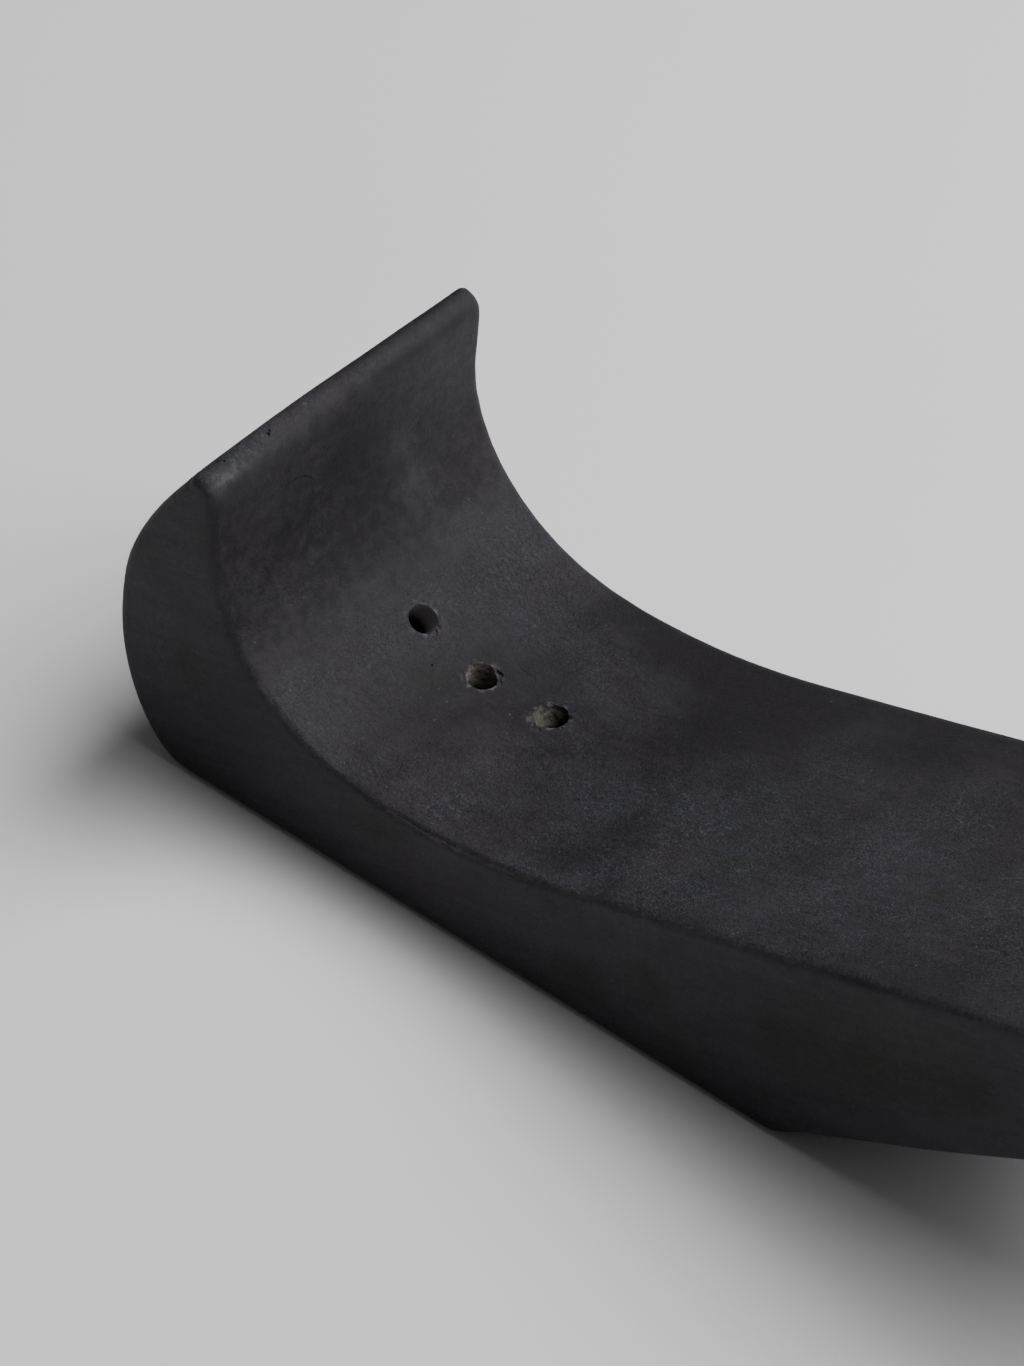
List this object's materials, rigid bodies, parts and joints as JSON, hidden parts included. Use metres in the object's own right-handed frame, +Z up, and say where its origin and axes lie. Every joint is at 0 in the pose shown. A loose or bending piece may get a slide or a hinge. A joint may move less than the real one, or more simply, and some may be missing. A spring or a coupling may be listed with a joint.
{
  "type": "incense burner",
  "caption": "Ski-shaped stick incense burner: an upturned lip, a hollow cradle with stick holes in a row, and a long rising wing that catches the ash.",
  "frame": {"origin": "on the table, under the centre of the burner's bounding box", "axes": "+X along the length from the curled lip to the end of the wing, +Y across the width, +Z up; the side outline is the same all the way across Y"},
  "size_m": [0.205, 0.05, 0.0619],
  "materials": {
    "black_ceramic": "unglazed, stained black, sanded and wax burnished to a soft satin",
    "grey_silicone": "matt moulded silicone"
  },
  "bodies": {
    "root": {"burner_body": "black_ceramic", "base_pad_rear_left": "grey_silicone", "base_pad_rear_right": "grey_silicone", "base_pad_front_left": "grey_silicone", "base_pad_front_right": "grey_silicone"}
  },
  "joints": []
}
